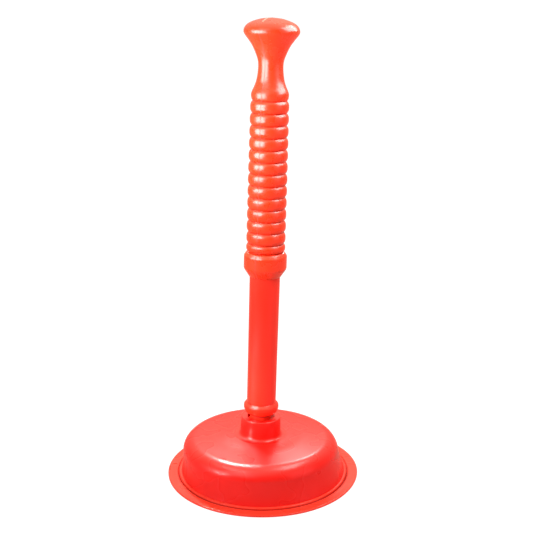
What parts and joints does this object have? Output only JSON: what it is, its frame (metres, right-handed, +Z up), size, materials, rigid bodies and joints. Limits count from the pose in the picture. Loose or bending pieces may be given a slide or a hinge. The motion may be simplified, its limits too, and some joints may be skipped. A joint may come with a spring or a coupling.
{
  "type": "toilet plunger",
  "caption": "Hand plunger for unblocking drains: a soft flat-lipped cup whose neck takes the threaded end of a hollow ribbed handle.",
  "frame": {"origin": "middle of the cup's mouth, on the surface the lip rests on", "axes": "+Z up, from the lip towards the knob; +X towards the side the handle leans to; -Y is the side first seen"},
  "size_m": [0.172, 0.172, 0.3999],
  "materials": {
    "cup_rubber": "smooth moulded, soft sheen",
    "stem_plastic": "smooth moulded, semi gloss",
    "grip_plastic": "smooth blow-moulded, gloss"
  },
  "bodies": {
    "cup": {"cup_lip": "cup_rubber", "cup_wall": "cup_rubber"},
    "crown": {"cup_crown_outer": "cup_rubber"},
    "crown_middle": {"cup_crown_inner": "cup_rubber"},
    "neck": {"cup_neck": "cup_rubber"},
    "ring": {"stop_ring": "stem_plastic"},
    "handle": {"threaded_plug": "stem_plastic", "stem_tube": "stem_plastic", "grip_shell": "grip_plastic"}
  },
  "joints": [
    {"name": "plunge", "type": "slide", "parent": "cup", "child": "crown", "axis": [0, 0, -1], "range_m": [0, 0.015], "stiffness_N_per_m": 4000},
    {"name": "tilt_fore", "type": "hinge", "parent": "crown", "child": "crown_middle", "pos_m": [0, 0, 0.0343], "axis": [1, 0, 0], "range_deg": [-8, 8], "stiffness_Nm_per_rad": 10},
    {"name": "tilt_side", "type": "hinge", "parent": "crown_middle", "child": "neck", "pos_m": [0, 0, 0.0343], "axis": [0, 1, 0], "range_deg": [-8, 8], "stiffness_Nm_per_rad": 10},
    {"name": "screw_rise", "type": "slide", "parent": "neck", "child": "ring", "axis": [0.0279, 0, 0.9996], "range_m": [-0.0024, 0.017]},
    {"name": "unscrew", "type": "hinge", "parent": "ring", "child": "handle", "pos_m": [0, 0, 0.0343], "axis": [0.0279, 0, 0.9996], "range_deg": [-200, 1440]}
  ],
  "couplings": [
    {"joint": "screw_rise", "follows": "unscrew", "m_per_rad": 0.00066845}
  ]
}
